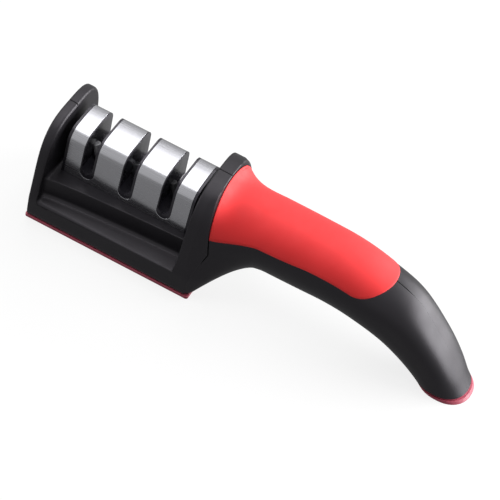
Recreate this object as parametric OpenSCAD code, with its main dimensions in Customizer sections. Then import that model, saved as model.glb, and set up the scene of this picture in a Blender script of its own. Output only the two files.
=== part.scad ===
// Hand-held knife sharpener with three pull-through stages.
// A sharpening head under a slotted steel cover stands in a black two-part body,
// whose collar runs into an arched handle with a soft grip and a rubber tail foot.
// Length runs along X, the two body halves meet on the plane Y = 0, Z is up
// and the rubber pads stand on Z = 0, with the origin under the middle of the part.

/* [Overall] */
// Length over all, from the end plate to the tail of the handle
total_l = 206.6; // [203:0.2:220]
// Length of the base on the table
base_l = 80.4; // [79.5:0.1:83]
// Width of the base across the flanges
base_w = 53.4; // [46:0.2:62]
// Height of the end plate above the table
plate_h = 50.6; // [48.6:0.2:52]
// Height of the collar above the table
collar_h = 54.4; // [52:0.2:58]

/* [Body shell] */
// Thickness of the end plate
plate_t = 3.8; // [3.4:0.1:4.8]
// Outward flare of the end plate at its top
plate_flare = 0.9; // [0.4:0.1:2]
// Thickness of the collar ahead of the grip
collar_t = 6.8; // [5.5:0.1:8]
// Height of the side flanges above the table
flange_h = 12.2; // [11:0.1:13]
// Depth of the ledge on top of each flange beside the end plate
ledge_d = 4.4; // [3.6:0.1:5.4]
// Width of the deck beside the steel cover at the collar
deck_rim_w = 3.4; // [3:0.1:5]
// Height of the deck that the steel cover stands on
deck_h = 22.6; // [21.6:0.1:23.4]
// Inward lean of the body's sides in degrees
side_lean = 8.4; // [5:0.2:10]
// Wall thickness of the body halves
wall_t = 2.4; // [1.8:0.1:2.6]
// Length of the neck that runs from the collar into the handle
neck_l = 23; // [21:0.5:26]
// Length by which the sides of the neck run on behind its top
side_run_l = 5; // [0:0.5:8]
// Gap between the sharpening head and the collar
head_gap = 2.6; // [2.2:0.1:3.2]

/* [Handle] */
// Height of the handle's straight centreline above the table
axis_h = 33.7; // [32:0.1:36]
// Width of the handle behind the neck
handle_w = 32.2; // [30:0.2:34]
// Depth of the handle behind the neck
handle_d = 30.2; // [29:0.2:31.4]
// Radius of the bend down to the tail
bend_r = 79.5; // [72:0.5:84]
// Angle that the bend turns through in degrees
bend_a = 50.5; // [47:0.5:53]
// Length of the tail foot on the table
tail_l = 23.6; // [22:0.2:25]
// Width of the tail foot
tail_w = 24; // [23:0.2:27]

/* [Grip and pads] */
// Length of the soft grip along the handle
grip_l = 76.6; // [70:0.2:80]
// Length of the grip's rounded end
grip_end_l = 11; // [9:0.5:16]
// Thickness of the soft grip
grip_t = 2.2; // [1.8:0.1:2.6]
// Angle of the grip's lower edge above the handle's middle in degrees
grip_edge_a = 18.5; // [15:0.5:21]
// Angle by which that edge dips along the neck in degrees
grip_dip_a = 5; // [3:0.5:7]
// Distance that the collar's rear edge slants back from its top to its sides
grip_front_d = 4.8; // [3:0.1:6]
// Thickness of the rubber base pad
pad_t = 1.6; // [1.2:0.1:2]
// Distance of the base pad's long edges from the body's edge
pad_inset = 0.2; // [0.1:0.1:0.8]
// Length by which the base pad stands out past the foot of the end plate
pad_toe = 0.6; // [0.2:0.1:1]
// Corner radius of the base pad
pad_r = 1.2; // [0.8:0.1:2.4]
// Thickness of the rubber tail pad
tail_pad_t = 3; // [2.4:0.1:3.4]
// Thickness of the plate that closes the base
base_plate_t = 2.2; // [1.8:0.1:2.4]

/* [Steel cover] */
// Length of the steel cover
cover_l = 59.5; // [58.5:0.1:60]
// Distance of the first slot's middle from the cover's end
slot_x = 10.6; // [10.2:0.1:11]
// Distance from the end plate's foot to the cover
cover_x = 8; // [7.4:0.1:8.6]
// Width of the cover at its lower edges
cover_w = 26.2; // [22:0.1:29]
// Height of the cover's top above the table
cover_top = 46; // [44:0.1:46.5]
// Radius of the cover's bends
cover_r = 6.6; // [5.6:0.1:7.4]
// Inward lean of the cover's sides in degrees
cover_lean = 2.8; // [1.6:0.2:3.6]
// Thickness of the steel sheet
sheet_t = 0.8; // [0.6:0.1:1]
// Distance between neighbouring slots
slot_spacing = 18.85; // [18.4:0.05:19]
// Width of the slots in the steel
slot_w = 6.8; // [6.4:0.1:7.2]
// Height of the strap under each slot
strap_h = 2; // [1.8:0.1:2.6]

/* [Sharpening head] */
// Width of the plastic lip on the collar side of each slot
lip_w = 1; // [0.8:0.05:1.1]
// Width of the plastic lip on the plate side of each slot
thin_lip_w = 0.5; // [0.4:0.05:0.7]
// Thickness of the head's end flanges
flange_t = 1.1; // [0.8:0.05:1.1]
// Set-back of the head's sides below the deck
skirt_set_d = 1.9; // [1.8:0.1:2.3]
// Height of the underside of the head's floor above the table
head_z = 9; // [8.4:0.1:9.6]
// Thickness of the head's floor plate
head_floor_t = 1.8; // [1.4:0.1:2]
// Length of a stage holder along the part
holder_l = 11.2; // [10.8:0.1:11.6]
// Width of a stage holder across the part
holder_w = 15; // [13:0.2:16]
// Height of the top of the stage holders above the table
holder_top = 37; // [36:0.2:38]
// Height of the crease in the floor of the knife slots above the table
crease_h = 26.3; // [25.4:0.1:27]
// Height of the crossing of each abrasive pair above the table
cross_h = 29; // [28:0.2:30]
// Diameter of the diamond rods
diamond_d = 3.4; // [3:0.1:3.6]
// Diameter of the ceramic rods
ceramic_d = 3; // [2.6:0.1:3.4]
// Length of the rods
rod_l = 14.4; // [12:0.2:15]
// Lean of the rods from upright in degrees
rod_lean = 18; // [15:0.5:20]
// Width of the carbide blades
blade_w = 5; // [4:0.2:5.2]
// Thickness of the carbide blades
blade_t = 2; // [1.6:0.1:2.4]
// Length of the carbide blades
blade_l = 13; // [11:0.2:14]
// Lean of the carbide blades from upright in degrees
blade_lean = 22; // [18:0.5:24]

/* [Fasteners] */
// Shank diameter of the self-tapping screws
screw_d = 2.5; // [2.2:0.1:2.8]
// Head diameter of the self-tapping screws
screw_head_d = 5; // [4.4:0.1:5.2]
// Head height of the self-tapping screws
screw_head_h = 1.6; // [1.2:0.1:1.8]
// Shank diameter of the small screws through the carbide blades
blade_screw_d = 1.4; // [1.2:0.1:1.6]
// Length of the screws that hold the halves together
handle_screw_l = 13; // [12:0.5:13.5]
// Length of the screws under the head
head_screw_l = 12; // [10:0.5:13]
// Length of the base plate's screws
plate_screw_l = 7; // [6:0.2:7.4]

/* [Hidden] */
$fn = 48;

// Clearance between parts that slot together
fit = 0.1;
// Gap that the bonding line of the grip takes
bond = 0.05;
// Overrun of every cutting shape past the face it cuts
over = 1;
// Rounding of the edges of the end plate and the collar
edge_r = 0.8;
// Radial gap round a screw or a pin in its own hole
bite = 0.03;

// Places along the part, measured from the foot of the end plate
collar_x = cover_x + cover_l + flange_t + head_gap;
collar_end = collar_x + collar_t;
neck_end = collar_end + neck_l;
tail_x = total_l - plate_flare - tail_l / 2;
bend_drop = bend_r * (1 - cos(bend_a));
bend_x = tail_x - bend_r * sin(bend_a) - (axis_h - bend_drop) / tan(bend_a);
bend_s = bend_r * bend_a * PI / 180;
end_s = bend_x + bend_s + (axis_h - bend_drop) / sin(bend_a);
core_end_s = end_s - tail_l;
grip_tip_s = collar_end + grip_l;

// Shape of the sections: how boxy they are at the collar and how round in the handle
collar_top_power = 3.4;
base_power = 30;
handle_power = 2.2;
width_taper_power = 2.5;
depth_taper_power = 1.95;
neck_power = 4.8;
side_power = 1.7;
arch_power = 1.33;
rounding_power = 1.6;
neck_drop_share = 0.65;
// Height on the section, as the sine of its angle, over which the step at the collar fades
step_shares = [-0.4, 0.2];

// Ledge beside the collar, and half profile of the deck and the hollow under it
ledge_deep_d = (base_w - cover_w) / 2 - deck_rim_w;
skirt_w = cover_w - 2 * skirt_set_d;
rim_y = cover_w / 2 + fit;
skirt_y = skirt_w / 2 + fit;

// Stages of the head, the slots in its plastic and the middle of each crossed pair
stages = [0, 1, 2];
function slot_mid(i) = cover_x + slot_x + i * slot_spacing;
function stage_x(i) = slot_mid(i) + (thin_lip_w - lip_w) / 2;
knife_w = slot_w - lip_w - thin_lip_w;

// Screws, their bosses and the ribs between them
boss_r = screw_head_d / 2 + wall_t / 2;
plate_boss_r = screw_d / 2 + wall_t;
rib_z = pad_t + base_plate_t + fit;
band_l = stage_x(0) - holder_l / 2 - cover_x;
head_screw_x = [cover_x + band_l / 2, cover_x + cover_l - band_l / 2];
head_screw_y = skirt_w / 4;
plate_screw_x = [wall_t + plate_boss_r, base_l - 2 * wall_t - plate_boss_r];
plate_screw_y = base_w / 2 - wall_t - plate_boss_r;
void_top = flange_h - wall_t;
void_end = base_l - 2 * wall_t;
handle_screw_shares = [0.2, 0.5, 0.8];
handle_screw_y = handle_screw_l / 2;

function mix(a, b, m) = a + (b - a) * m;
function share(v, lo, hi) = min(1, max(0, (v - lo) / (hi - lo)));
function settle(m, power) = 1 - pow(1 - m, power);

// The centreline runs level, then bends down to the table
function spine_a(s) = min(bend_a, max(0, (s - bend_x) / bend_r * 180 / PI));
function past_bend(s) = max(0, s - bend_x - bend_s);
function spine(s) = s <= bend_x ? [s, axis_h] :
    [bend_x + bend_r * sin(spine_a(s)) + past_bend(s) * cos(bend_a),
     axis_h - bend_r * (1 - cos(spine_a(s))) - past_bend(s) * sin(bend_a)];
function spot(s, h) = let (p = spine(s), t = spine_a(s)) [p[0] + h * sin(t), p[1] + h * cos(t)];

// Top and bottom of the body from the end plate to the end of the neck
function upper(a) = pow(max(0, sin(a)), 2);
function neck_m(s, a) = settle(share(s, collar_end, neck_end + side_run_l * (1 - upper(a))),
    mix(side_power, neck_power, upper(a)));
function top_z(s) = s < collar_end ? mix(plate_h, collar_h, share(s, plate_t, collar_x)) :
    mix(collar_h, axis_h + handle_d / 2,
        settle(share(s, collar_end, mix(collar_end, neck_end, neck_drop_share)), neck_power));
function bottom_z(s) = mix(pad_t, axis_h - handle_d / 2, settle(share(s, base_l, neck_end), arch_power));
function tail_m(s) = share(s, neck_end, end_s);
function half_w(s, a) = mix(mix(base_w, handle_w, neck_m(s, a)), tail_w,
    pow(tail_m(s), width_taper_power)) / 2;
function half_d(s) = mix((top_z(s) - bottom_z(s)) / 2, tail_l / 2 * sin(bend_a),
    pow(tail_m(s), depth_taper_power));
function mid_shift(s) = (top_z(s) + bottom_z(s)) / 2 - axis_h;
function power(s, a) = 1 / mix(1 / (sin(a) > 0 ? collar_top_power : base_power), 1 / handle_power,
    pow(neck_m(s, a), rounding_power));

// The collar's rear edge slants back towards its sides, and the skin steps down behind it
function slant(a) = pow(1 - abs(sin(a)), sin(a) > 0 ? 1 : 2);
function slanted(s, a) = s + grip_front_d * slant(a) * (1 - share(s, collar_end, neck_end));
function sunk(s, a) = s < slanted(collar_end, a) - edge_r / 2 ? 0 :
    edge_r * (1 - neck_m(s, 90)) * share(sin(a), step_shares[0], step_shares[1]);

// One point of the skin at distance s along the centreline and angle a round it
function polar(w, d, n, a) = 1 / pow(pow(abs(cos(a)) / w, n) + pow(abs(sin(a)) / d, n), 1 / n);
function narrowing(s, a, h) = 1 - tan(side_lean) * (1 - neck_m(s, a))
    * max(0, axis_h + h - flange_h) / half_w(s, a);
function skin(s, a, inset) =
    let (in = inset + sunk(s, a), r = polar(half_w(s, a) - in, half_d(s) - in, power(s, a), a),
         h = r * sin(a) + mid_shift(s), p = spot(s, h))
    [p[0], r * cos(a) * narrowing(s, a, h), p[1]];

// Angles of the points round half a section, with one on the lower corner
low_corner = -atan2(collar_h - pad_t, base_w);
function half_angles(low, mid, high) = concat(
    [for (i = [0:low]) mix(-90, low_corner, i / low)],
    [for (i = [1:mid]) mix(low_corner, 0, i / mid)],
    [for (i = [1:high]) mix(0, 90, i / high)]);

// A solid skinned over rings of points, each ring with the same even number of points
module skinned(rings) {
    count = len(rings[0]);
    last = len(rings) - 1;
    top = last * count;
    polyhedron(
        points = [for (ring = rings) each ring],
        faces = concat(
            [for (j = [0:count / 2 - 2]) let (k = count - 1 - j)
                each [[j, j + 1, k - 1], [j, k - 1, k],
                      [top + k - 1, top + j + 1, top + j], [top + k, top + k - 1, top + j]]],
            [for (i = [0:last - 1], j = [0:count - 1]) let (k = (j + 1) % count)
                each [[i * count + j, (i + 1) * count + j, (i + 1) * count + k],
                      [i * count + j, (i + 1) * count + k, i * count + k]]]),
        convexity = 8);
}

// Moves the part so that its origin lies under the middle of the whole length
module placed() {
    translate([plate_flare - total_l / 2, 0, 0]) children();
}

// Extrudes an outline drawn across the part along its length
module along(x0, x1) {
    translate([x0, 0, 0]) rotate([90, 0, 90]) linear_extrude(x1 - x0) children();
}

// Outer half of the body as one skin, from the end plate to past the tail
skin_angles = half_angles(4, 5, 14);
neck_rings = 10;
handle_rings = 16;
skin_end_s = end_s + tail_l / 2;
function flared(ring) = [for (p = ring) [p[0] - plate_flare * p[2] / plate_h, p[1], p[2]]];
function ring_at(s, inset) = [for (a = skin_angles) skin(s, a, inset)];
function slant_ring(s, ahead) = [for (a = skin_angles) skin(slanted(s, a) - ahead, a, 0)];
module half_skin() {
    skinned(concat(
        [flared(ring_at(0, edge_r)), flared(ring_at(edge_r / 4, edge_r / 4)), flared(ring_at(edge_r, 0))],
        [ring_at(plate_t - edge_r, 0), ring_at(collar_x, 0)],
        [ring_at(collar_end - 2 * edge_r, 0), slant_ring(collar_end, edge_r)],
        [for (i = [0:neck_rings]) slant_ring(mix(collar_end, neck_end, i / neck_rings), 0)],
        [for (i = [1:handle_rings]) ring_at(mix(neck_end, skin_end_s, i / handle_rings), 0)]));
}

// Space above the deck and the side ledge, between the end plate and the collar
bay_shares = [0, 0.02, 0.06, 0.14, 0.3, 0.6, 1];
bay_top = max(plate_h, collar_h) + over;
function ledge_at(m) = mix(ledge_d, ledge_deep_d, sqrt(m));
function bay_ring(x, ledge) = [
    [x, base_w / 2 - ledge, flange_h], [x, base_w, flange_h], [x, base_w, deck_h],
    [x, base_w, bay_top], [x, rim_y, bay_top], [x, rim_y, deck_h]];
module bay_space() {
    skinned([for (m = bay_shares) bay_ring(mix(plate_t, collar_x, m), ledge_at(m))]);
    translate([plate_t, -over, deck_h])
        cube([collar_x - plate_t, rim_y + 2 * over, bay_top - deck_h]);
}

// Waste round the inner edge of the end plate, above the flanges
plate_edge_r = 2 * edge_r;
plate_edge_angles = [0, 30, 60, 90];
module plate_edge() {
    difference() {
        translate([plate_t - plate_edge_r, -over, flange_h]) cube([plate_edge_r, base_w, plate_h]);
        skinned([for (a = plate_edge_angles)
            ring_at(plate_t - plate_edge_r * (1 - sin(a)), plate_edge_r * (1 - cos(a)))]);
    }
}

// Hollow of the base under the deck and the ledges, open below
module base_void() {
    wall_y = cover_w / 2 + deck_rim_w - wall_t;
    difference() {
        union() {
            translate([wall_t, wall_t - base_w / 2, -over])
                cube([void_end - wall_t, base_w - 2 * wall_t, void_top + over]);
            along(cover_x - flange_t - fit, cover_x + cover_l + flange_t + fit) polygon([
                [wall_y, -over], [wall_y, void_top], [skirt_y, deck_h - wall_t],
                [skirt_y, deck_h + over], [-skirt_y, deck_h + over],
                [-skirt_y, deck_h - wall_t], [-wall_y, void_top], [-wall_y, -over]]);
        }
        for (x = head_screw_x) head_rib(x);
        for (x = plate_screw_x, y = [-plate_screw_y, plate_screw_y])
            translate([x, y, rib_z]) cylinder(r = plate_boss_r, h = flange_h);
    }
}

// Cross rib with two bosses that the sharpening head is screwed down on
module head_rib(x) {
    translate([x - wall_t / 2, -base_w / 2, rib_z]) cube([wall_t, base_w, head_z - rib_z]);
    for (y = [-head_screw_y, head_screw_y])
        translate([x, y, rib_z]) cylinder(r = boss_r, h = head_z - rib_z);
}

// Holes for the screws of the head and of the base plate, from below
module base_holes() {
    for (x = head_screw_x, y = [-head_screw_y, head_screw_y]) translate([x, y, 0]) {
        cylinder(d = screw_d + 2 * fit, h = head_z + over);
        cylinder(d = screw_head_d + 2 * fit, h = rib_z + screw_head_h);
    }
    for (x = plate_screw_x, y = [-plate_screw_y, plate_screw_y]) translate([x, y, 0])
        cylinder(d = screw_d + 2 * bite, h = pad_t + screw_head_h + plate_screw_l + fit);
}

// Hollow of the handle, which follows the skin round the three screw bosses
core_angles = half_angles(2, 2, 6);
core_rings = 12;
module handle_core() {
    far_angles = [for (k = [len(core_angles) - 2:-1:1]) 180 - core_angles[k]];
    difference() {
        skinned([for (i = [0:core_rings]) [for (a = concat(core_angles, far_angles))
            skin(mix(collar_end, core_end_s, i / core_rings), a, grip_t + wall_t)]]);
        at_handle_screws() cylinder(r = boss_r, h = handle_w, center = true);
    }
}

// Places its children at the three screws under the grip, turned along the width
function handle_screw_s(m) = collar_end + grip_l * m;
function screw_rise(s) = half_d(s) + mid_shift(s) - grip_t - wall_t / 2 - boss_r;
module at_handle_screws() {
    for (m = handle_screw_shares) let (s = handle_screw_s(m), p = spot(s, screw_rise(s)))
        translate([p[0], 0, p[1]]) rotate([-90, 0, 0]) children();
}

// Grip as a band over the top of the handle, grown on every side by a gap
grip_rings = 16;
grip_end_rings = 7;
grip_segments = 18;
grip_last_a = 85;
grip_round_s = grip_tip_s - grip_end_l;
function dip_a(s) = grip_dip_a * sin(180 * share(s, collar_end, neck_end + neck_l));
function edge_a(s) = let (m = share(s, grip_round_s, grip_tip_s))
    90 - (90 - grip_edge_a + dip_a(s)) * sqrt(max(0, 1 - m * m));
function grip_s(i) = i <= grip_rings ? mix(collar_end, grip_round_s, i / grip_rings) :
    mix(grip_round_s, grip_tip_s, sin(grip_last_a * (i - grip_rings) / grip_end_rings));
module grip_band(top_gap, gap) {
    skinned([for (i = [0:grip_rings + grip_end_rings])
        let (s = grip_s(i) + (i == 0 ? -gap : gap), e = edge_a(grip_s(i)) - gap / handle_d * 360 / PI)
        concat(
            [for (k = [0:grip_segments]) let (a = mix(e, 180 - e, k / grip_segments))
                skin(slanted(s, a), a, -top_gap)],
            [for (k = [grip_segments:-1:0]) let (a = mix(e, 180 - e, k / grip_segments))
                skin(slanted(s, a), a, grip_t + gap)])]);
}

// Screw along Z with its head below the origin and its point upwards
module screw(length) {
    translate([0, 0, -screw_head_h]) cylinder(d = screw_head_d, h = screw_head_h);
    cylinder(d = screw_d, h = length);
}

// Plug of the tail pad, which stands up into the tail
module tail_plug(gap) {
    translate([tail_x, 0, 0]) rotate([0, bend_a - 90, 0])
        cylinder(r = tail_l / 6 + gap, h = tail_l / 2 + gap);
}

// Pin that keeps the halves in line near the tail, with its socket grown by a gap
module tail_pin(gap) {
    p = spot(core_end_s + tail_l / 5, 0);
    translate([p[0], 0, p[1]]) rotate([90, 0, 0])
        cylinder(r = wall_t / 2 + gap, h = 2 * (wall_t + gap), center = true);
}

// Far half of the body for side 1, near half with the screw heads for side -1
module body_half(side) {
    mirror([0, side < 0 ? 1 : 0, 0]) difference() {
        half_skin();
        bay_space();
        plate_edge();
        base_void();
        base_holes();
        handle_core();
        grip_band(over, bond);
        tail_plug(fit);
        translate([bend_x, -over, tail_pad_t - base_w]) cube([total_l, base_w, base_w]);
        at_handle_screws() cylinder(d = screw_d + 2 * bite, h = handle_screw_l + fit, center = true);
        if (side < 0) {
            tail_pin(fit);
            at_handle_screws() translate([0, 0, handle_screw_l / 2])
                cylinder(d = screw_head_d + 2 * fit, h = handle_w);
        }
    }
    if (side > 0) tail_pin(0);
}

module body_left() {
    color("#232326") placed() body_half(1);
}

module body_right() {
    color("#29292c") placed() body_half(-1);
}

module grip() {
    color("#e8383c") placed() grip_band(0, 0);
}

module handle_screws() {
    color("#a7a9ae") placed() at_handle_screws()
        translate([0, 0, -handle_screw_l / 2]) screw(handle_screw_l);
}

// Rounded plate with upright edges
module slab(x0, x1, width, z0, z1, r) {
    translate([x0 + r, -width / 2, z0]) cube([x1 - x0 - 2 * r, width, z1 - z0]);
    translate([x0, r - width / 2, z0]) cube([x1 - x0, width - 2 * r, z1 - z0]);
    for (x = [x0 + r, x1 - r], y = [r - width / 2, width / 2 - r])
        translate([x, y, z0]) cylinder(r = r, h = z1 - z0);
}

module base_plate() {
    color("#1d1d20") placed() difference() {
        slab(wall_t + fit, void_end - fit, base_w - 2 * (wall_t + fit), pad_t, pad_t + base_plate_t, pad_r);
        for (x = plate_screw_x, y = [-plate_screw_y, plate_screw_y]) translate([x, y, pad_t]) {
            translate([0, 0, -over]) cylinder(d = screw_head_d + 2 * fit, h = screw_head_h + over);
            cylinder(d = screw_d + 2 * fit, h = base_plate_t + over);
        }
    }
}

module base_plate_screws() {
    color("#a7a9ae") placed() for (x = plate_screw_x, y = [-plate_screw_y, plate_screw_y])
        translate([x, y, pad_t + screw_head_h]) screw(plate_screw_l);
}

module base_pad() {
    color("#8b1a2e") placed() slab(-pad_toe, base_l, base_w - 2 * pad_inset, 0, pad_t, pad_r);
}

module tail_pad() {
    color("#8b1a2e") placed() intersection() {
        union() {
            difference() {
                union() {
                    half_skin();
                    mirror([0, 1, 0]) half_skin();
                }
                translate([0, -base_w, tail_pad_t]) cube([2 * total_l, 2 * base_w, total_l]);
            }
            tail_plug(0);
        }
        translate([bend_x, -base_w, 0]) cube([total_l, 2 * base_w, axis_h]);
    }
}

// Outline of the cover's outside across the part, moved inwards by an inset
module cover_outline(inset) {
    side_y = cover_w / 2 - inset;
    bend_z = cover_top - cover_r;
    r = cover_r - inset;
    bend_y = side_y - (bend_z - deck_h) * tan(cover_lean) - r / cos(cover_lean);
    foot_y = bend_y + r * cos(cover_lean);
    foot_z = bend_z + r * sin(cover_lean);
    polygon([
        [-side_y, deck_h], [side_y, deck_h], [foot_y, foot_z], [bend_y, bend_z + r],
        [-bend_y, bend_z + r], [-foot_y, foot_z]]);
    for (y = [-bend_y, bend_y]) translate([y, bend_z]) circle(r = r);
}

// Round-ended slot in the steel, cut right across the cover
module slot_space(x, width) {
    foot_z = deck_h + strap_h + slot_w / 2;
    translate([x, 0, foot_z]) rotate([90, 0, 0]) cylinder(d = width, h = 2 * cover_w, center = true);
    translate([x - width / 2, -cover_w, foot_z]) cube([width, 2 * cover_w, cover_top]);
}

// Knife slot in the plastic of one stage, with a creased floor
module knife_slot(i) {
    translate([stage_x(i), cover_w, 0]) rotate([90, 0, 0]) linear_extrude(2 * cover_w) polygon([
        [0, crease_h], [knife_w / 2, crease_h + knife_w / 2], [knife_w / 2, cover_top + over],
        [-knife_w / 2, cover_top + over], [-knife_w / 2, crease_h + knife_w / 2]]);
}

module steel_cover() {
    color("#b9bbbf") placed() difference() {
        along(cover_x, cover_x + cover_l) cover_outline(0);
        along(cover_x - over, cover_x + cover_l + over) cover_outline(sheet_t);
        translate([cover_x - over, sheet_t - cover_w / 2, deck_h - over])
            cube([cover_l + 2 * over, cover_w - 2 * sheet_t, 2 * over]);
        for (i = stages) slot_space(slot_mid(i), slot_w);
    }
}

module cartridge_body() {
    color("#1b1b1e") placed() difference() {
        union() {
            along(cover_x - fit, cover_x + cover_l + fit) cover_outline(sheet_t + fit);
            for (x = [cover_x - flange_t - fit, cover_x + cover_l + fit])
                along(x, x + flange_t) cover_outline(0);
            for (i = stages) intersection() {
                along(cover_x, cover_x + cover_l) cover_outline(0);
                slot_space(slot_mid(i), slot_w - 2 * fit);
            }
            translate([cover_x, -skirt_w / 2, head_z + head_floor_t])
                cube([cover_l, skirt_w, deck_h - head_z]);
        }
        for (i = stages) {
            knife_slot(i);
            translate([stage_x(i) - holder_l / 2 - fit, -holder_w / 2 - fit, head_z])
                cube([holder_l + 2 * fit, holder_w + 2 * fit, holder_top - head_z + fit]);
        }
        head_screw_holes(screw_d + 2 * bite);
    }
}

// Holes for the four screws that hold the head down
module head_screw_holes(width) {
    for (x = head_screw_x, y = [-head_screw_y, head_screw_y]) translate([x, y, 0])
        cylinder(d = width, h = rib_z + screw_head_h + head_screw_l + fit);
}

module cartridge_floor() {
    color("#151517") placed() difference() {
        translate([cover_x, -skirt_w / 2, head_z]) cube([cover_l, skirt_w, head_floor_t]);
        head_screw_holes(screw_d + 2 * fit);
    }
}

module cartridge_screws() {
    color("#a7a9ae") placed() for (x = head_screw_x, y = [-head_screw_y, head_screw_y])
        translate([x, y, rib_z + screw_head_h]) screw(head_screw_l);
}

// Block that holds one crossed pair, with the knife slot through it
module holder(i) {
    floor_z = head_z + head_floor_t;
    difference() {
        translate([stage_x(i) - holder_l / 2, -holder_w / 2, floor_z])
            cube([holder_l, holder_w, holder_top - floor_z]);
        knife_slot(i);
        translate([stage_x(i), 0, cross_h]) children();
    }
}

// Rod of a crossed pair on one side of the middle, grown by a gap
module rod(d, side, gap) {
    translate([0, side * (d / 2 + fit), 0]) rotate([0, side * rod_lean, 0])
        cylinder(d = d + 2 * gap, h = rod_l + 2 * gap, center = true);
}

// Blade of a crossed pair on one side of the middle, grown by a gap
module blade(side, gap) {
    translate([0, side * (blade_t / 2 + fit), 0]) rotate([0, side * blade_lean, 0])
        cube([blade_w + 2 * gap, blade_t + 2 * gap, blade_l + 2 * gap], center = true);
}

// Screw through the foot of a blade, with its head in the side of the holder
module blade_screw(side, gap, reach) {
    rotate([0, side * blade_lean, 0]) translate([0, 0, (blade_w - blade_l) / 2]) rotate([-90 * side, 0, 0]) {
        translate([0, 0, fit]) cylinder(d = blade_screw_d + 2 * gap, h = holder_w / 2 - fit);
        translate([0, 0, holder_w / 2 - blade_screw_d])
            cylinder(d = 2 * (blade_screw_d + gap), h = blade_screw_d + reach);
    }
}

// Moves the pieces of one stage to the crossing of its pair
module at_stage(i) {
    placed() translate([stage_x(i), 0, cross_h]) children();
}

module coarse_holder() {
    color("#222226") placed() holder(0) for (side = [-1, 1]) rod(diamond_d, side, bite);
}

module carbide_holder() {
    color("#222226") placed() holder(1) for (side = [-1, 1]) {
        blade(side, bite);
        blade_screw(side, bite, over);
    }
}

module fine_holder() {
    color("#222226") placed() holder(2) for (side = [-1, 1]) rod(ceramic_d, side, bite);
}

module diamond_rod_left() {
    color("#8f9094") at_stage(0) rod(diamond_d, 1, 0);
}

module diamond_rod_right() {
    color("#8f9094") at_stage(0) rod(diamond_d, -1, 0);
}

module carbide_blade(side) {
    color("#a9abb0") at_stage(1) difference() {
        blade(side, 0);
        blade_screw(side, bite, over);
    }
}

module carbide_blade_left() {
    carbide_blade(1);
}

module carbide_blade_right() {
    carbide_blade(-1);
}

module blade_screws() {
    color("#a7a9ae") at_stage(1) for (side = [-1, 1]) blade_screw(side, 0, 0);
}

module ceramic_rod_left() {
    color("#d9d6cc") at_stage(2) rod(ceramic_d, 1, 0);
}

module ceramic_rod_right() {
    color("#d9d6cc") at_stage(2) rod(ceramic_d, -1, 0);
}

body_left();
body_right();
grip();
base_plate();
base_pad();
tail_pad();
steel_cover();
cartridge_body();
cartridge_floor();
coarse_holder();
carbide_holder();
fine_holder();
diamond_rod_left();
diamond_rod_right();
carbide_blade_left();
carbide_blade_right();
ceramic_rod_left();
ceramic_rod_right();
blade_screws();
cartridge_screws();
base_plate_screws();
handle_screws();
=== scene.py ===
# %% [markdown]
# # Looks of a hand-held knife sharpener
# The real object is a black moulded body in two halves, with a base that stands
# on a rubber pad, a head under a slotted steel cover, and an arched handle with
# a soft red grip. The CAD model gives the frame and the sizes, and this file
# gives the smooth skins, the rounded edges and the finishes.

# %% Load the frame
import math

import bmesh
import bpy
from mathutils import Matrix, Vector


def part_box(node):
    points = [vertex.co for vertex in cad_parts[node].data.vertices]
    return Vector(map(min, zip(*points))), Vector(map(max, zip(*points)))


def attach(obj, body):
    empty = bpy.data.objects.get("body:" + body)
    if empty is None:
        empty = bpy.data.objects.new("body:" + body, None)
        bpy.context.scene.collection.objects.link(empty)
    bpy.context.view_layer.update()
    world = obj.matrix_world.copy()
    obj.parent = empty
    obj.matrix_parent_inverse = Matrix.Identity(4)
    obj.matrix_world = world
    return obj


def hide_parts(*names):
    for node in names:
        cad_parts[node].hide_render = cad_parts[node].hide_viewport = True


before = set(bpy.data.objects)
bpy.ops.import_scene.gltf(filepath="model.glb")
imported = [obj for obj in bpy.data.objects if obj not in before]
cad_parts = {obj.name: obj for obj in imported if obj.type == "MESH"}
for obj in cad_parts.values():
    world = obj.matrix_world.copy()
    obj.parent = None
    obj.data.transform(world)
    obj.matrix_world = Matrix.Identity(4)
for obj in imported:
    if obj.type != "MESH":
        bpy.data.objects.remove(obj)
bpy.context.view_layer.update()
print("nodes:", len(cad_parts))

# %% [markdown]
# ## Camera
# The photograph is taken from the near side, from 47.5 degrees above the table,
# with a long lens, and the camera is rolled, so the object runs down to the right.
# Its place and lens were fitted to the base's edges, the slots and the two pads.
# Three plain turns of a camera that looks straight down give that view.

# %% Camera
MM = 0.001


def mm(x, y, z):
    """A place given in millimetres."""
    return Vector((x, y, z)) * MM


PHOTO_SIDE, FOCAL_PX, SENSOR_W = 500, 2189.94, 36
lens = bpy.data.cameras.new("photo_camera")
lens.sensor_width = SENSOR_W
lens.lens = FOCAL_PX / PHOTO_SIDE * SENSOR_W
camera = bpy.data.objects.new("photo_camera", lens)
camera_place = mm(150.11, -614.97, 710.83)
azimuth, elevation, roll = math.radians(14.44), math.radians(47.51), math.radians(16.47)
camera.matrix_world = (
    Matrix.Translation(camera_place)
    @ Matrix.Rotation(azimuth, 4, "Z")
    @ Matrix.Rotation(math.pi / 2 - elevation, 4, "X")
    @ Matrix.Rotation(roll, 4, "Z")
)
bpy.context.scene.collection.objects.link(camera)
bpy.context.scene.camera = camera
print("lens:", round(lens.lens, 1), "mm")

# %% [markdown]
# ## Colours and nodes
# Colours are written as on a screen and turned to the linear values that the
# shaders use. One function adds a node, with its settings and its links. Real
# surfaces are never quite even, so a noise whose grains have a real size lets the
# colour and the roughness wander a little between two values.

# %% Colour and node helpers


def linear(colour):
    """Linear RGBA of a hex colour."""
    parts = [int(colour[i : i + 2], 16) / 255 for i in (1, 3, 5)]
    return tuple(c / 12.92 if c <= 0.04045 else ((c + 0.055) / 1.055) ** 2.4 for c in parts) + (1,)


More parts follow.
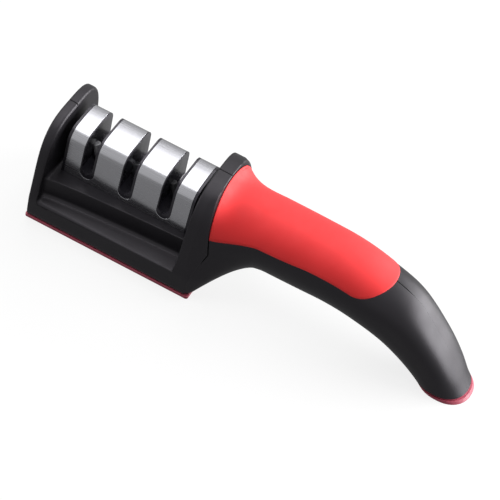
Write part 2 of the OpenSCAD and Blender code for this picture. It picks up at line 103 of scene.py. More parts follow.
def add(tree, kind, inputs=None, **settings):
    """Adds a node. An input is a value, or the socket that feeds it."""
    made = tree.nodes.new(kind)
    for name, value in settings.items():
        setattr(made, name, value)
    for name, value in (inputs or {}).items():
        if isinstance(value, bpy.types.NodeSocket):
            tree.links.new(value, made.inputs[name])
        else:
            made.inputs[name].default_value = value
    return made


def finish(name, colour, **sockets):
    """A material with a plain shader of one colour, to which patterns are added."""
    made = bpy.data.materials.new(name)
    made.use_nodes = True
    shader = made.node_tree.nodes["Principled BSDF"]
    shader.inputs["Base Color"].default_value = linear(colour)
    for socket, value in sockets.items():
        shader.inputs[socket.replace("_", " ")].default_value = value
    made.diffuse_color = linear(colour)
    return made, made.node_tree, shader


def grain(tree, size, detail, stretch=(1, 1, 1)):
    """Noise whose grains measure size millimetres, longer where stretch is below 1."""
    place = add(tree, "ShaderNodeTexCoord")
    drawn = add(tree, "ShaderNodeMapping", {"Vector": place.outputs["Object"], "Scale": stretch})
    noise = add(tree, "ShaderNodeTexNoise", {
        "Vector": drawn.outputs["Vector"], "Scale": 1 / (size * MM), "Detail": detail})
    return noise.outputs["Fac"]


NOISE_DARK, NOISE_LIGHT = 0.3, 0.7


def wander(tree, noise, target, low, high):
    """Lets a shader's input wander from low to high as the noise goes from dark to light."""
    swing = add(tree, "ShaderNodeMapRange", {
        "Value": noise, "From Min": NOISE_DARK, "From Max": NOISE_LIGHT})
    value = add(tree, "ShaderNodeMix", {"Factor": swing.outputs["Result"], "A": low, "B": high},
                data_type="RGBA" if target.type == "RGBA" else "FLOAT")
    tree.links.new(value.outputs["Result"], target)


print("noise between", NOISE_DARK, "and", NOISE_LIGHT, "is used")

# %% [markdown]
# ## Body plastic
# The body is moulded in ABS from a spark-eroded tool, which leaves a fine matt
# grain. The grain breaks up the light of the softbox, so the black turns to a
# soft dark grey where it faces the light and stays deep black on its sides. The
# head under the cover is the same plastic from a smoother tool, painted a little
# paler as painted light that lifts the shade inside its slots.

# %% Body plastic


def moulded_plastic(name, colour, shade, roughness):
    """Black ABS, whose sheen leans slightly to violet."""
    made, tree, shader = finish(name, colour, IOR=1.5, Specular_IOR_Level=0.32,
                                Specular_Tint=linear("#fbf5ff"))
    # the melt's flow leaves tones that drift over 14 mm, and handling wears the sheen over 5 mm
    flow, wear = grain(tree, size=14, detail=3), grain(tree, size=5, detail=4)
    wander(tree, flow, shader.inputs["Base Color"], linear(colour), linear(shade))
    wander(tree, wear, shader.inputs["Roughness"], roughness - 0.02, roughness + 0.03)
    # the tool's grain is about 0.1 mm; it is drawn at 0.4 mm, which the render can show
    bump = add(tree, "ShaderNodeBump", {
        "Height": grain(tree, size=0.4, detail=2), "Strength": 0.12, "Distance": 0.05 * MM})
    tree.links.new(bump.outputs["Normal"], shader.inputs["Normal"])
    return made


body_abs = moulded_plastic("moulded_abs_black", "#08070a", "#0d0c0f", roughness=0.46)
# painted light: the head's plastic gets a paler colour than the body's, to lift the shade in its
# slots
head_abs_painted_paler = moulded_plastic("moulded_abs_head_painted_paler", "#232227", "#2b2a30", roughness=0.24)
print("plastics:", body_abs.name, head_abs_painted_paler.name)

# %% [markdown]
# ## Soft grip and pads
# The grip is soft-touch rubber moulded over the handle: evenly matt, with a pale
# bloom where it faces the light. The pads are a darker, harder rubber.

# %% Rubbers


def soft_rubber(name, colour, shade, roughness, pore, level):
    """Matt rubber with pores of the given size, where level sets how pale its bloom is."""
    made, tree, shader = finish(name, colour, IOR=1.5, Specular_IOR_Level=level)
    # the pigment drifts over 18 mm, and handling polishes patches of 6 mm
    pigment, wear = grain(tree, size=18, detail=2), grain(tree, size=6, detail=3)
    wander(tree, pigment, shader.inputs["Base Color"], linear(colour), linear(shade))
    wander(tree, wear, shader.inputs["Roughness"], roughness - 0.04, roughness + 0.06)
    # real pores are under 0.1 mm; they are drawn several times wider, to show at all
    bump = add(tree, "ShaderNodeBump", {
        "Height": grain(tree, size=pore, detail=2), "Strength": 0.15, "Distance": 0.05 * MM})
    tree.links.new(bump.outputs["Normal"], shader.inputs["Normal"])
    return made


grip_rubber = soft_rubber("soft_touch_rubber_red", "#f53436", "#ee3032",
                          roughness=0.66, pore=0.5, level=0.45)
pad_rubber = soft_rubber("pad_rubber_dark_red", "#b0485c", "#9e3c50",
                         roughness=0.5, pore=0.6, level=0.6)
print("rubbers:", grip_rubber.name, pad_rubber.name)

# %% [markdown]
# ## Metals and stones
# The cover is stainless sheet brushed along its length before it was bent. The
# brushing spreads highlights across the bends, and its fine lines show in them.
# The abrasives are diamond grit plated on rods, which glitters a little, carbide
# blades ground to a dull shine, and matt dark ceramic rods.

# %% Metals and stones
SCRATCH_W = 0.25


def brushed_steel(name, colour, shade, roughness, length):
    """Metal with fine scratches along X, each about length millimetres long."""
    made, tree, shader = finish(name, colour, Metallic=1.0)
    # scratches are 0.05 mm apart on the real sheet and 0.25 mm here, to show at all
    lines = grain(tree, SCRATCH_W, detail=3, stretch=(SCRATCH_W / length, 1, 1))
    wander(tree, lines, shader.inputs["Base Color"], linear(shade), linear(colour))
    wander(tree, lines, shader.inputs["Roughness"], roughness - 0.04, roughness + 0.06)
    bump = add(tree, "ShaderNodeBump", {"Height": lines, "Strength": 0.03, "Distance": 0.02 * MM})
    tree.links.new(bump.outputs["Normal"], shader.inputs["Normal"])
    return made


def grit(name, colour, shade, roughness, metallic, size, depth):
    """Stone or plating whose grains have the given size and depth in millimetres."""
    made, tree, shader = finish(name, colour, Metallic=metallic, Roughness=roughness)
    # real grains are about 0.1 mm; they are drawn two to three times wider, to show at all
    grains = grain(tree, size, detail=4)
    wander(tree, grains, shader.inputs["Base Color"], linear(shade), linear(colour))
    bump = add(tree, "ShaderNodeBump", {"Height": grains, "Strength": 0.5, "Distance": depth * MM})
    tree.links.new(bump.outputs["Normal"], shader.inputs["Normal"])
    return made


cover_steel = brushed_steel("brushed_stainless_sheet", "#9e9ea2", "#98989c",
                            roughness=0.23, length=12)
screw_steel = brushed_steel("turned_screw_steel", "#b9bbbf", "#a3a5aa", roughness=0.35, length=1)
carbide = brushed_steel("ground_carbide", "#a9abb0", "#94969b", roughness=0.3, length=2)
diamond = grit("diamond_grit_plating", "#c4c5c8", "#8f9094",
               roughness=0.45, metallic=0.4, size=0.25, depth=0.08)
ceramic = grit("fired_ceramic", "#4a4a4c", "#3c3c3e",
               roughness=0.5, metallic=0.0, size=0.3, depth=0.02)
print("metals:", [m.name for m in (cover_steel, screw_steel, carbide)])
print("stones:", [m.name for m in (diamond, ceramic)])

# %% [markdown]
# ## Section of the body
# The body is one skin from the end plate to the tail. At each place along its
# centreline the section is a rounded box that turns into an oval in the handle,
# and the centreline bends down behind the grip. The sizes repeat the CAD's, in mm.
# The tail has two traits that the CAD leaves out: a low knuckle on top, behind the
# grip, and from there a squarer and slimmer section that ends at the foot.

# %% Sizes of the body
TOTAL_L, BASE_L, BASE_W = 206.6, 80.4, 53.4
PLATE_H, COLLAR_H = 50.6, 54.4
PLATE_T, PLATE_FLARE, COLLAR_T = 3.8, 0.9, 6.8
FLANGE_H, DECK_H, SIDE_LEAN = 12.2, 22.6, 8.4
LEDGE_D, LEDGE_DEEP_D = 4.4, 10.2
NECK_L, SIDE_RUN_L = 23.0, 5.0
AXIS_H, HANDLE_W, HANDLE_D = 33.7, 32.2, 30.2
BEND_R, BEND_A, TAIL_L, TAIL_W = 79.5, 50.5, 23.6, 24.0
GRIP_L, GRIP_END_L, GRIP_EDGE_A, GRIP_DIP_A, GRIP_FRONT_D = 76.6, 11.0, 18.5, 5.0, 4.8
PAD_T, TAIL_PAD_T, EDGE_R = 1.6, 2.4, 0.8
COLLAR_X = 71.2
COLLAR_END = COLLAR_X + COLLAR_T
NECK_END = COLLAR_END + NECK_L
TAIL_X = TOTAL_L - PLATE_FLARE - TAIL_L / 2
bend = math.radians(BEND_A)
bend_drop = BEND_R * (1 - math.cos(bend))
BEND_X = TAIL_X - BEND_R * math.sin(bend) - (AXIS_H - bend_drop) / math.tan(bend)
BEND_S = BEND_R * bend
END_S = BEND_X + BEND_S + (AXIS_H - bend_drop) / math.sin(bend)
SKIN_END = END_S + TAIL_L / 2
GRIP_TIP = COLLAR_END + GRIP_L
GRIP_ROUND = GRIP_TIP - GRIP_END_L
print("centreline:", round(END_S, 1), "mm")

# %% Sizes of the knuckle and the tail
KNUCKLE_S, KNUCKLE_L, KNUCKLE_H = 166.0, 17.0, 1.8
TAIL_SQUARE, TAIL_TRIM_SHARE = 0.8, 0.1
TAIL_START, TAIL_FULL = GRIP_TIP - 4, GRIP_TIP + 18
FOOT_START, FOOT_FULL = END_S - 12, END_S + 2
print("tail section:", round(TAIL_START, 1), "to", round(FOOT_FULL, 1), "mm")

# %% Curvature of the section
# a section is a superellipse: power 2 is an ellipse, and a high power a sharp box
BOX_TOP_POWER, BOX_LOW_POWER, HANDLE_POWER, POWER_EASE = 3.4, 30.0, 2.2, 1.6
# a change along the centreline is quick at first where its ease is over 1
SIDE_EASE, TOP_EASE, BELLY_EASE, TOP_L_SHARE = 1.7, 4.8, 1.33, 0.65
# a taper starts late where its ease is over 1
TAPER_W_EASE, TAPER_D_EASE = 2.5, 1.95
print("corner powers:", BOX_TOP_POWER, BOX_LOW_POWER, "handle:", HANDLE_POWER)

# %% Skin of the body


def mix(a, b, m):
    """Value at the share m of the way from a to b."""
    return a + (b - a) * m


def share(v, low, high):
    """How far v lies between low and high, from 0 to 1."""
    return min(1, max(0, (v - low) / (high - low)))


def settle(m, ease):
    """A share that runs quickly at first and then settles."""
    return 1 - (1 - m) ** ease


def smooth(m):
    """A share that starts and ends softly."""
    return m * m * (3 - 2 * m)


def spot(s, h):
    """Point of the middle plane at distance s along the centreline and h above it."""
    turn = min(bend, max(0, (s - BEND_X) / BEND_R))
    past = max(0, s - BEND_X - BEND_S)
    x = s if s <= BEND_X else BEND_X + BEND_R * math.sin(turn) + past * math.cos(bend)
    z = AXIS_H - BEND_R * (1 - math.cos(turn)) - past * math.sin(bend)
    return x + h * math.sin(turn), z + h * math.cos(turn)


def upper(a):
    """How much an angle looks up, from 0 at the side to 1 on top."""
    return max(0, math.sin(math.radians(a))) ** 2


def neck_m(s, a):
    """How far the collar's section has turned into the handle's, sooner on top than below."""
    run = share(s, COLLAR_END, NECK_END + SIDE_RUN_L * (1 - upper(a)))
    return settle(run, mix(SIDE_EASE, TOP_EASE, upper(a)))


def top_z(s):
    """Height of the skin's top: it rises to the collar and drops steeply behind it."""
    if s < COLLAR_END:
        return mix(PLATE_H, COLLAR_H, share(s, PLATE_T, COLLAR_X))
    drop = settle(share(s, COLLAR_END, mix(COLLAR_END, NECK_END, TOP_L_SHARE)), TOP_EASE)
    return mix(COLLAR_H, AXIS_H + HANDLE_D / 2, drop)


def bottom_z(s):
    """Height of the skin's bottom: flat under the base, then up to the finger arch."""
    rise = settle(share(s, BASE_L, NECK_END), BELLY_EASE)
    return mix(PAD_T, AXIS_H - HANDLE_D / 2, rise)


def half_w(s, a):
    """Half the section's width."""
    taper = share(s, NECK_END, END_S) ** TAPER_W_EASE
    return mix(mix(BASE_W, HANDLE_W, neck_m(s, a)), TAIL_W, taper) / 2


def half_d(s):
    """Half the section's depth."""
    taper = share(s, NECK_END, END_S) ** TAPER_D_EASE
    return mix((top_z(s) - bottom_z(s)) / 2, TAIL_L / 2 * math.sin(bend), taper)


def tail_m(s):
    """How far the section has the tail's traits: from behind the grip to the foot."""
    start = smooth(share(s, TAIL_START, TAIL_FULL))
    return start * (1 - smooth(share(s, FOOT_START, FOOT_FULL)))


def grip_edge(s):
    """Angle of the grip's lower edge, which closes over the top at the grip's tip."""
    m = share(s, GRIP_ROUND, GRIP_TIP)
    dip = GRIP_DIP_A * math.sin(math.pi * share(s, COLLAR_END, NECK_END + NECK_L))
    return 90 - (90 - GRIP_EDGE_A + dip) * math.sqrt(1 - m * m)


def slanted(s, a):
    """Distance along the centreline where edges slant back like the collar's rear edge."""
    rise = math.sin(math.radians(a))
    slant = (1 - abs(rise)) ** (1 if rise > 0 else 2)
    return s + GRIP_FRONT_D * slant * (1 - share(s, COLLAR_END, NECK_END))


def step_down(s, a):
    """Drop of the skin behind the collar, which fades out below the grip."""
    fade = share(math.sin(math.radians(a)), -0.4, 0.2)
    return 0 if s < slanted(COLLAR_END, a) else EDGE_R * (1 - neck_m(s, 90)) * fade


def skin(s, a, inset=0.0):
    """Point of the skin at distance s along the centreline and angle a in degrees."""
    sunk = inset + step_down(s, a)
    tail = tail_m(s)
    above = 1 if a > 0 else 0
    w = half_w(s, a) * (1 - TAIL_TRIM_SHARE / 2 * tail) - sunk
    d = half_d(s) * (1 - TAIL_TRIM_SHARE * tail * above) - sunk
    c, n = abs(math.cos(math.radians(a))), abs(math.sin(math.radians(a)))
    box = BOX_TOP_POWER if a > 0 else BOX_LOW_POWER
    power = 1 / mix(1 / box, 1 / HANDLE_POWER, neck_m(s, a) ** POWER_EASE)
    power += TAIL_SQUARE * tail * above
    knuckle = KNUCKLE_H * smooth(max(0, 1 - abs(s - KNUCKLE_S) / KNUCKLE_L))
    r = ((c / w) ** power + (n / d) ** power) ** (-1 / power) + knuckle * upper(a)
    h = r * math.sin(math.radians(a)) + (top_z(s) + bottom_z(s)) / 2 - AXIS_H
    lean = math.tan(math.radians(SIDE_LEAN)) * (1 - neck_m(s, a)) * max(0, AXIS_H + h - FLANGE_H)
    x, z = spot(s, h)
    return Vector((x, r * math.cos(math.radians(a)) * (1 - lean / half_w(s, a)), z))


print("collar top:", [round(v, 1) for v in skin(COLLAR_X + 3, 90)])

# %% [markdown]
# ## Wrapping a grid
# A skin like this could be a loft of curves or a subdivided cage. Here a flat
# grid is laid over it instead: each row of the grid is one section, so the rows
# can crowd where an edge is rounded, and every face of the skin is a clean quad.

# %% Grid wrapping helpers
WELD = 0.002


def wrapped(rows):
    """A bmesh grid with each of its vertices moved to its place in the rows, in mm."""
    shape = bmesh.new()
    last_row, last_column = len(rows) - 1, len(rows[0]) - 1
    bmesh.ops.create_grid(shape, x_segments=last_row, y_segments=last_column, size=1)
    for v in shape.verts:
        i = round((v.co.x + 1) / 2 * last_row)
        j = round((v.co.y + 1) / 2 * last_column)
        v.co = rows[i][j]
    bmesh.ops.remove_doubles(shape, verts=shape.verts, dist=WELD)
    return shape


def piece(name, shape, material, slot, *nodes, sharp=38, scale=MM, weighted=True):
    """Turns a bmesh in mm into a piece on the body, with its finish and the nodes it shows.

    Edges that turn by more than the angle sharp stay crisp, and weighted keeps flat faces flat.
    """
    bmesh.ops.recalc_face_normals(shape, faces=shape.faces)
    bmesh.ops.scale(shape, vec=(scale, scale, scale), verts=shape.verts)
    for f in shape.faces:
        f.smooth = True
    for e in shape.edges:
        e.smooth = len(e.link_faces) != 2 or e.calc_face_angle() < math.radians(sharp)
    mesh = bpy.data.meshes.new(name)
    shape.to_mesh(mesh)
    shape.free()
    mesh.materials.append(material)
    made = bpy.data.objects.new(name, mesh)
    bpy.context.scene.collection.objects.link(made)
    if weighted:
        made.modifiers.new("flat_faces", "WEIGHTED_NORMAL").keep_sharp = True
    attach(made, "root")
    if nodes:
        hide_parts(*nodes)
    print(name, len(mesh.polygons), "faces")
    return made


ORIGIN_X = PLATE_FLARE - TOTAL_L / 2
print("end plate at", round(ORIGIN_X, 1), "mm")

# %% [markdown]
# ## Body halves
# The two halves meet on the middle plane, and their rounded edges leave the fine
# groove that runs over the end plate and the collar and fades out on the tail.
# Between the end plate and the collar the section drops to the deck and the side
# ledge, which falls a little outwards and meets the wall in a hollow fillet, as a
# moulded part does. The rows there keep their number of points, so plate, ledge
# and collar stay one skin.

# %% Rows of the body halves
FLOOR_N, SIDE_N = 12, 5
ROUND_N, LEDGE_N, FILLET_N, WALL_N, DECK_N = 4, 4, 6, 6, 22
HIGH_N = 2 * ROUND_N + LEDGE_N + FILLET_N + WALL_N + DECK_N
END_A, FLANGE_A = 89, -28.0
corner_a = -math.degrees(math.atan2(COLLAR_H - PAD_T, BASE_W))
# the angles crowd at the lower corner, which is nearly sharp
near_corner = [-3.6, -2.2, -1.2, -0.5, 0, 0.5, 1.2, 2.2, 3.6]
low_angles = [mix(-END_A, corner_a - 5, i / FLOOR_N) for i in range(FLOOR_N + 1)]
low_angles += [corner_a + d for d in near_corner]
side_angles = [mix(corner_a + 5.5, FLANGE_A, i / SIDE_N) for i in range(SIDE_N + 1)]
high_angles = [mix(FLANGE_A, END_A, i / HIGH_N) for i in range(1, HIGH_N + 1)]
print("points of a half section:", len(low_angles + side_angles + high_angles))

# %% Groove between the halves
# distances from the middle plane, and how deep the skin has sunk there
SEAM = [(0.5, 0.0), (0.18, 0.08), (0.03, 0.3)]
SEAM_W, SEAM_LOSS_SHARE = 0.6, 0.97
SEAM_FADE, SEAM_GONE = GRIP_TIP + 3, GRIP_TIP + 10


def flare(point, s):
    """Leans the end plate's outside outwards towards its top."""
    lean = PLATE_FLARE * (1 - share(s, EDGE_R, PLATE_T - EDGE_R))
    return point - Vector((lean * point.z / PLATE_H, 0, 0))


def seam_points(s, a, inset):
    """Rounded edge of a half where it meets the other half, over the top or below."""
    made = []
    faded = smooth(share(s, SEAM_FADE, SEAM_GONE)) if a > 0 else 0
    depth = 1 - SEAM_LOSS_SHARE * faded
    for y, sink in SEAM:
        point = skin(s, a, inset + sink * depth)
        made.append(Vector((point.x, y * depth, point.z)))
    return made


print("groove:", 2 * SEAM[0][0], "mm wide")

# %% Section of the skin


def skin_row(s, inset=0.0, high_inset=None, fade=3, slant=False):
    """Half section of the skin, with its own inset above the flange, reached over fade points.

    With slant, the row follows the slanted edge behind the collar.
    """
    high_inset = inset if high_inset is None else high_inset
    place = slanted if slant else (lambda s, a: s)
    low = [skin(place(s, a), a, inset) for a in low_angles + side_angles]
    high = [skin(place(s, a), a, mix(inset, high_inset, smooth(min(1, i / fade))))
            for i, a in enumerate(high_angles)]
    row = seam_points(s, -90, inset)[::-1] + low + high + seam_points(s, 90, high_inset)
    return [flare(p, s) for p in row + row[:1]]


def arc(centre, radius, start, stop, count):
    """Points of an arc across the part, without its first."""
    turns = [math.radians(mix(start, stop, i / count)) for i in range(1, count + 1)]
    return [(centre[0] + radius * math.cos(t), centre[1] + radius * math.sin(t)) for t in turns]


print("width of the base:", round(2 * skin(PLATE_T, FLANGE_A).y, 1), "mm")

# %% Section of the bay between end plate and collar
LEDGE_A, LEDGE_R, FILLET_R, DECK_R = 8.0, 1.8, 2.2, 0.3
LEDGE_SLOPE = math.tan(math.radians(LEDGE_A))


def bay_row(x, lift=0.0):
    """Half section between the plate and the collar, with floor and walls moved out by lift."""
    m = math.sqrt(share(x, PLATE_T, COLLAR_X))
    wall_y = BASE_W / 2 - mix(LEDGE_D, LEDGE_DEEP_D, m) + lift
    out_y = skin(x, FLANGE_A).y
    ledge_z, deck_z = FLANGE_H + lift, DECK_H + lift
    fall = LEDGE_SLOPE * (out_y - LEDGE_R - wall_y - FILLET_R)
    path = arc((out_y - LEDGE_R, ledge_z - fall - LEDGE_R), LEDGE_R, 0, 90 - LEDGE_A, ROUND_N)
    rim_y, rim_z = path[-1]
    path += arc((wall_y + FILLET_R, ledge_z + FILLET_R), FILLET_R, 270 - LEDGE_A, 180, FILLET_N)
    foot_y, foot_z = path[ROUND_N]
    path[ROUND_N:ROUND_N] = [(mix(rim_y, foot_y, i / LEDGE_N), mix(rim_z, foot_z, i / LEDGE_N))
                             for i in range(1, LEDGE_N + 1)]
    wall_top = deck_z - DECK_R
    path += [(wall_y, mix(ledge_z + FILLET_R, wall_top, i / WALL_N)) for i in range(1, WALL_N + 1)]
    path += arc((wall_y - DECK_R, wall_top), DECK_R, 0, 90, ROUND_N)
    path += [(mix(wall_y - DECK_R, SEAM_W, i / DECK_N), deck_z) for i in range(1, DECK_N + 1)]
    low = seam_points(x, -90, 0)[::-1] + [skin(x, a) for a in low_angles + side_angles]
    low[-1].z = min(low[-1].z, ledge_z - fall - LEDGE_R)
    row = low + [Vector((x, y, z)) for y, z in path]
    row += [Vector((x, y, deck_z - sink)) for y, sink in SEAM]
    return row + row[:1]


def between(first, second, count):
    """Rows that lead from one row to the other, without the two themselves."""
    return [[p.lerp(q, i / count) for p, q in zip(first, second)] for i in range(1, count)]


print("ledge falls", LEDGE_A, "degrees outwards")

# %% Rows from the end plate to the collar
PLATE_R, FOOT_R, COLLAR_R = 1.6, 1.4, 0.7
FACE_N, BAY_N, BAY_EASE = 6, 18, 1.5
quarter = [math.radians(a) for a in (0, 22.5, 45, 67.5, 90)]
rows = [skin_row(EDGE_R * (1 - math.cos(t)), EDGE_R * (1 - math.sin(t))) for t in quarter]
for t in quarter:
    rows.append(skin_row(PLATE_T - PLATE_R * (1 - math.sin(t)), 0, PLATE_R * (1 - math.cos(t))))
foot = [bay_row(PLATE_T + FOOT_R * (1 - math.cos(t)), FOOT_R * (1 - math.sin(t))) for t in quarter]
rows += between(rows[-1], foot[0], FACE_N) + foot
for i in range(1, BAY_N):
    rows.append(bay_row(mix(PLATE_T + FOOT_R, COLLAR_X - FOOT_R, (i / BAY_N) ** BAY_EASE)))
foot = [bay_row(COLLAR_X - FOOT_R * (1 - math.sin(t)), FOOT_R * (1 - math.cos(t))) for t in quarter]
collar = [skin_row(COLLAR_X + COLLAR_R * (1 - math.cos(t)), 0, COLLAR_R * (1 - math.sin(t)))
          for t in quarter]
rows += foot + between(foot[-1], collar[0], FACE_N) + collar
collar_back = (COLLAR_X + 2, COLLAR_X + 4, COLLAR_END - 1.6)
rows += [skin_row(s, 0) for s in collar_back]
print("rows to the collar:", len(rows), "of", len(rows[0]), "points")

# %% Rows from the collar's rear edge to the tail
# distances ahead of the rear edge, and how deep the skin has sunk there
COLLAR_EDGE = [(0.801, 0), (0.501, 0.06), (0.241, 0.24), (0.061, 0.5), (0.001, 0.8), (0.001, 1.5)]
GROOVE_W, GROOVE_D, GROOVE_FADE_N = 0.35, 0.5, 16
NECK_START, NECK_N, HANDLE_N = COLLAR_END + 0.5, 30, 64
rows += [skin_row(COLLAR_END - ahead, 0, sunk, GROOVE_FADE_N, True) for ahead, sunk in COLLAR_EDGE]
rows.append(skin_row(COLLAR_END + GROOVE_W, 0, GROOVE_D, GROOVE_FADE_N, True))
for i in range(NECK_N + 1):
    rows.append(skin_row(mix(NECK_START, NECK_END, i / NECK_N), slant=True))
rows += [skin_row(mix(NECK_END, SKIN_END, i / HANDLE_N)) for i in range(1, HANDLE_N + 1)]
print("rows:", len(rows))

# %% Body halves
ON_PLANE = 0.0001
FOOT_X = BEND_X + 20


def cut_level(shape, z, from_x, keep_above):
    """Cuts the skin level at height z, only behind from_x, and closes the cut."""
    faces = [f for f in shape.faces if f.calc_center_median().x > from_x]
    edges = {e for f in faces for e in f.edges}
    verts = {v for f in faces for v in f.verts}
    bmesh.ops.bisect_plane(
        shape, geom=list(verts) + list(edges) + faces, dist=ON_PLANE, plane_co=(0, 0, z),
        plane_no=(0, 0, 1), clear_outer=not keep_above, clear_inner=keep_above)
    rim = [e for e in shape.edges if e.is_boundary and e.verts[0].co.x > from_x
           and all(abs(v.co.z - z) < WELD / 2 for v in e.verts)]
    return bmesh.ops.holes_fill(shape, edges=rim)["faces"]


def rounded_rim(shape, faces, width, segments):
    """Rounds the edges round the given faces."""
    rim = {e for f in faces for e in f.edges if len(e.link_faces) == 2}
    bmesh.ops.bevel(shape, geom=list(rim), offset=width, offset_type="OFFSET", segments=segments,
                    profile=0.5, affect="EDGES", clamp_overlap=True, material=-1)


def body_half(side):
    """The far half for side 1, and its mirror image, the near half, for side -1."""
    shape = wrapped(rows)
    bmesh.ops.holes_fill(shape, edges=[e for e in shape.edges
                                       if e.is_boundary and e.verts[0].co.x < PLATE_T])
    cut_level(shape, TAIL_PAD_T, FOOT_X, keep_above=True)
    bmesh.ops.translate(shape, vec=(ORIGIN_X, 0, 0), verts=shape.verts)
    bmesh.ops.scale(shape, vec=(1, side, 1), verts=shape.verts)
    return shape


piece("far_body_half", body_half(1), body_abs, "black_plastic", "body_left")
piece("near_body_half", body_half(-1), body_abs, "black_plastic", "body_right")

# %% [markdown]
# ## Soft grip
# The grip lies over the top of the handle between the collar and its own round
# tip. It stands a little proud of the plastic, and its edge rolls down into it,
# which gives the thin lit line along the lower edge. The grid's columns crowd at
# that edge, and its last rows close over the top at the tip.

# %% Soft grip
GRIP_PROUD, GRIP_SUNK, GRIP_ROLL, GRIP_WALL_T = 0.22, 0.45, 0.9, 1.2
# the way from the grip's edge to its middle; behind the collar the grip rolls down over a
# shorter way, so each millimetre counts for more there
REACH_L, FRONT_SHARE, FRONT_GAP = 18.0, 1.6, 0.1
edge_shares = [0, 0.012, 0.03, 0.06, 0.1, 0.16]
tip_shares = [0.12, 0.24, 0.36, 0.48, 0.58, 0.67, 0.75, 0.82, 0.88, 0.93, 0.96, 0.98, 0.992, 0.999]
front_steps = [0.12, 0.2, 0.32, 0.5, 0.8, 1.2]
MIDDLE_N, GRIP_N = 16, 44


def grip_point(s, across):
    """Point of the grip's outside, where across runs from -1 to 1 between its edges."""
    edge = grip_edge(s)
    a = 90 - (90 - edge) * abs(across)
    fan = share(s, GRIP_ROUND, GRIP_TIP)
    reach = math.sqrt(fan * fan + across * across * (1 - fan * fan))
    from_edge = min((1 - reach) * REACH_L, (s - COLLAR_END - FRONT_GAP) * FRONT_SHARE)
    roll = min(1, max(0, from_edge) / GRIP_ROLL)
    height = GRIP_PROUD - (GRIP_PROUD + GRIP_SUNK) * (1 - math.sqrt(1 - (1 - roll) ** 2))
    point = skin(slanted(s, a), a, -height)
    return Vector((point.x, math.copysign(point.y, across), point.z))


middle = [mix(edge_shares[-1], 1, i / MIDDLE_N) for i in range(1, MIDDLE_N + 1)]
half_across = [1 - m for m in edge_shares + middle]
across = [-v for v in half_across] + half_across[-2::-1]
grip_s = [COLLAR_END + d for d in front_steps]
grip_s += [mix(grip_s[-1], GRIP_ROUND, i / GRIP_N) for i in range(1, GRIP_N + 1)]
grip_s += [mix(GRIP_ROUND, GRIP_TIP, m) for m in tip_shares]
grip_shape = wrapped([[grip_point(s, v) for v in across] for s in grip_s])
bmesh.ops.recalc_face_normals(grip_shape, faces=grip_shape.faces)
if sum(f.normal.z * f.calc_area() for f in grip_shape.faces) < 0:
    bmesh.ops.reverse_faces(grip_shape, faces=grip_shape.faces)
bmesh.ops.translate(grip_shape, vec=(ORIGIN_X, 0, 0), verts=grip_shape.verts)
grip = piece("soft_grip", grip_shape, grip_rubber, "soft_grip", "grip", sharp=60, weighted=False)
wall = grip.modifiers.new("wall", "SOLIDIFY")
wall.thickness, wall.offset = GRIP_WALL_T * MM, -1

# %% [markdown]
# ## Rubber pads
# The base pad is a thin slab with rounded corners that stands out a little past
# the foot of the end plate. The tail pad has the outline of the tail, so its lip
# is cut from the same skin. The lip's top is then set in and drawn up to the
# plastic, which leaves the narrow waist that shows as a dark line above the lip.

# %% Base pad
PAD_CORNER_R, PAD_EDGE_R = 1.2, 0.35
# a face counts as level when its normal leans less than this cosine allows
LEVEL_COS = 0.9
pad_shape = bmesh.new()
bmesh.ops.create_cube(pad_shape, size=1)
pad_low, pad_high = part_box("base_pad")
pad_size, pad_middle = (pad_high - pad_low) / MM, (pad_high + pad_low) / 2 / MM
bmesh.ops.scale(pad_shape, vec=pad_size, verts=pad_shape.verts)
bmesh.ops.translate(pad_shape, vec=pad_middle, verts=pad_shape.verts)
posts = [e for e in pad_shape.edges if abs(e.verts[0].co.z - e.verts[1].co.z) > PAD_T / 2]
bmesh.ops.bevel(pad_shape, geom=posts, offset=PAD_CORNER_R, offset_type="OFFSET", segments=6,
                profile=0.5, affect="EDGES", material=-1)
level = [f for f in pad_shape.faces if abs(f.normal.z) > LEVEL_COS]
rounded_rim(pad_shape, level, PAD_EDGE_R, 3)
piece("base_pad_rubber", pad_shape, pad_rubber, "rubber_pad", "base_pad")

# %% Tail pad
PAD_LIP_T, PAD_WAIST_D, LIP_R = 1.3, 0.8, 0.4
TAIL_N, HALF_N, START_SHARE = 32, 40, 0.7
# the rows start well up the bend, so that both cuts pass through closed sections
tail_from = BEND_X + START_SHARE * BEND_S
tail_rows = []
for i in range(TAIL_N + 1):
    s = mix(tail_from, SKIN_END, i / TAIL_N)
    half = [skin(s, mix(-90, 90, k / HALF_N)) for k in range(HALF_N + 1)]
    mirrored = [Vector((p.x, -p.y, p.z)) for p in half[-2::-1]]
    tail_rows.append(half + mirrored)
tail_shape = wrapped(tail_rows)
cut_level(tail_shape, PAD_LIP_T, BEND_X, keep_above=False)
cut_level(tail_shape, 0, BEND_X, keep_above=True)
bmesh.ops.translate(tail_shape, vec=(ORIGIN_X, 0, 0), verts=tail_shape.verts)
# the two faces that close the cuts are the only ones with many corners
MANY = 8
level = [f for f in tail_shape.faces if len(f.verts) > MANY]
rounded_rim(tail_shape, level, LIP_R, 3)
bmesh.ops.recalc_face_normals(tail_shape, faces=tail_shape.faces)
lip_top = [f for f in tail_shape.faces if len(f.verts) > MANY and f.normal.z > LEVEL_COS]
bmesh.ops.inset_region(tail_shape, faces=lip_top, thickness=PAD_WAIST_D, use_even_offset=True)
grown = bmesh.ops.extrude_face_region(tail_shape, geom=lip_top)["geom"]
bmesh.ops.delete(tail_shape, geom=lip_top, context="FACES")
bmesh.ops.translate(tail_shape, vec=(0, 0, TAIL_PAD_T - PAD_LIP_T),
                    verts=[v for v in grown if isinstance(v, bmesh.types.BMVert)])
piece("tail_pad_rubber", tail_shape, pad_rubber, "rubber_pad", "tail_pad")

